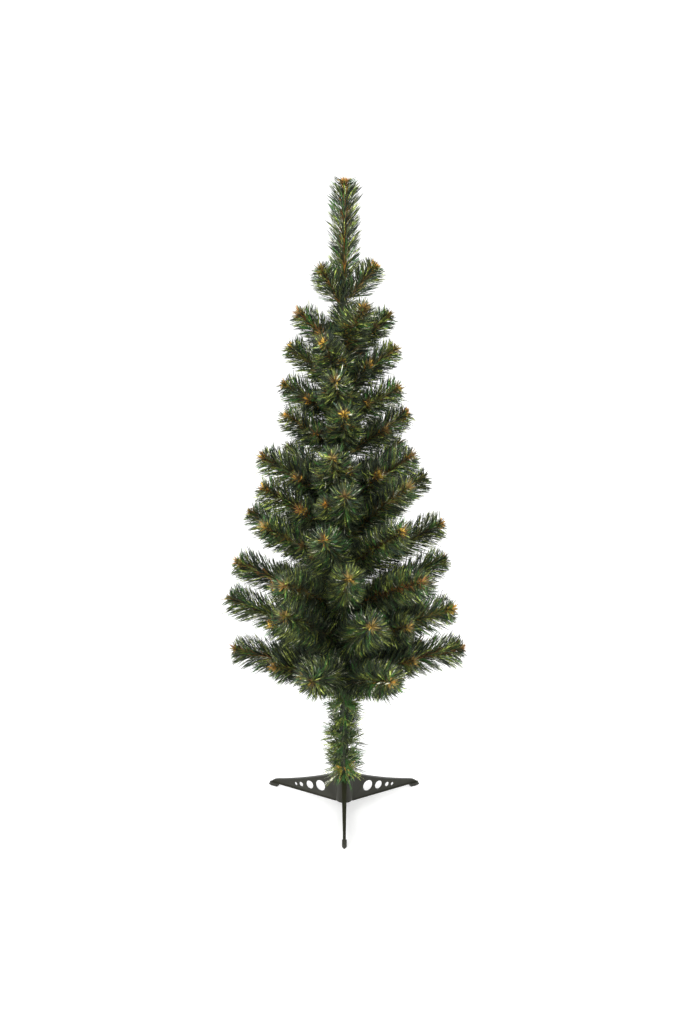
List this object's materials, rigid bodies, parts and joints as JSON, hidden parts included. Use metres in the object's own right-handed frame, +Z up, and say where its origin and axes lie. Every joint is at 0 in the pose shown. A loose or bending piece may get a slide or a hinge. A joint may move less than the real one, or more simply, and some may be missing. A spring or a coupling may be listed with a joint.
{
  "type": "artificial christmas tree",
  "caption": "Slim artificial Christmas tree: tiers of needled wire boughs round an upright pole, standing on a splayed plastic leg stand.",
  "frame": {"origin": "on the floor under the pole, midway between the feet of the stand", "axes": "+Z up along the pole, -Y along the stand's front leg, +X to the right seen from the front"},
  "size_m": [0.4632, 0.4373, 1.1984],
  "materials": {
    "tinsel": "short PVC needles, dark and mid green with brown at the wire and tan at the tips",
    "pole": "dark green tape wound round a steel pole",
    "stand": "dark grey-green moulded plastic"
  },
  "bodies": {
    "root": {"bough_01_1": "tinsel", "bough_01_2": "tinsel", "bough_01_3": "tinsel", "bough_01_4": "tinsel", "bough_01_5": "tinsel", "bough_01_6": "tinsel", "bough_02_1": "tinsel", "bough_02_2": "tinsel", "bough_02_3": "tinsel", "bough_02_4": "tinsel", "bough_02_5": "tinsel", "bough_02_6": "tinsel", "bough_03_1": "tinsel", "bough_03_2": "tinsel", "bough_03_3": "tinsel", "bough_03_4": "tinsel", "bough_03_5": "tinsel", "bough_03_6": "tinsel", "bough_04_1": "tinsel", "bough_04_2": "tinsel", "bough_04_3": "tinsel", "bough_04_4": "tinsel", "bough_04_5": "tinsel", "bough_04_6": "tinsel", "bough_05_1": "tinsel", "bough_05_2": "tinsel", "bough_05_3": "tinsel", "bough_05_4": "tinsel", "bough_05_5": "tinsel", "bough_06_1": "tinsel", "bough_06_2": "tinsel", "bough_06_3": "tinsel", "bough_06_4": "tinsel", "bough_06_5": "tinsel", "bough_07_1": "tinsel", "bough_07_2": "tinsel", "bough_07_3": "tinsel", "bough_07_4": "tinsel", "bough_08_1": "tinsel", "bough_08_2": "tinsel", "bough_08_3": "tinsel", "bough_08_4": "tinsel", "bough_09_1": "tinsel", "bough_09_2": "tinsel", "bough_09_3": "tinsel", "bough_09_4": "tinsel", "bough_10_1": "tinsel", "bough_10_2": "tinsel", "bough_10_3": "tinsel", "bough_10_4": "tinsel", "bough_11_1": "tinsel", "bough_11_2": "tinsel", "bough_11_3": "tinsel", "leader": "tinsel", "pole_sleeve": "tinsel", "pole": "pole", "stand_hub": "stand", "stand_leg_front": "stand", "stand_leg_right": "stand", "stand_leg_left": "stand"}
  },
  "joints": []
}
